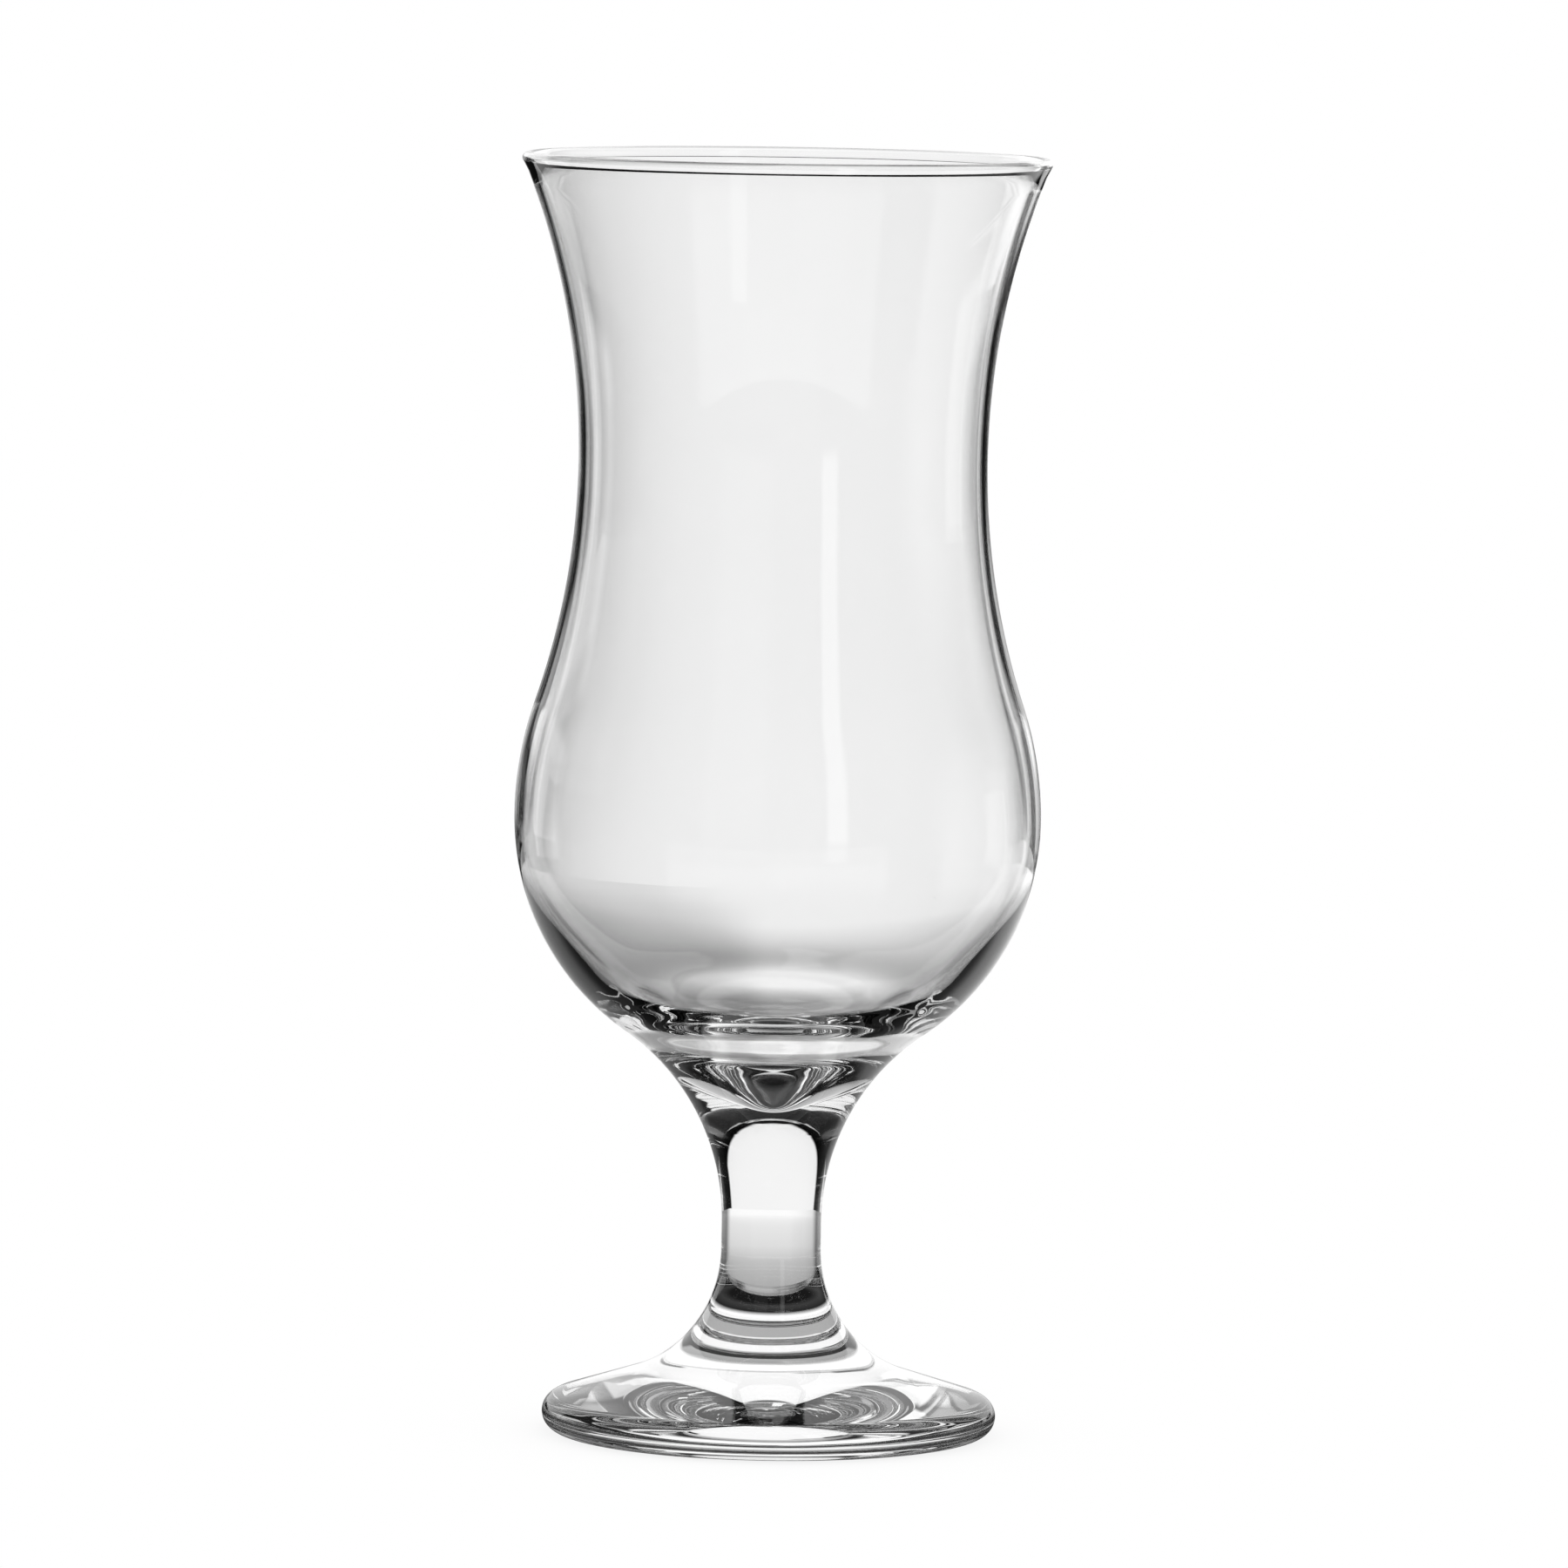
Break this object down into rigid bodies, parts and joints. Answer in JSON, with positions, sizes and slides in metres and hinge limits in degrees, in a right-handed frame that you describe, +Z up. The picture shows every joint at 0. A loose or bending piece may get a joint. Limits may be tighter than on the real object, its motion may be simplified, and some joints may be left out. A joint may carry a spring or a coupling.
{
  "type": "hurricane glass",
  "caption": "Clear footed drinking glass: flared mouth, drawn-in waist, round belly with a heavy floor, short solid stem and a sloping round foot.",
  "frame": {"origin": "centre of the base, on the plane that the glass stands on", "axes": "+Z up, along the axis of revolution; +X and +Y are any two square directions, because the glass is round"},
  "size_m": [0.0826, 0.0826, 0.2],
  "materials": {
    "clear_glass": "clear soda-lime glass, fire-polished"
  },
  "bodies": {
    "root": {"bowl": "clear_glass", "stem": "clear_glass", "foot": "clear_glass"}
  },
  "joints": []
}
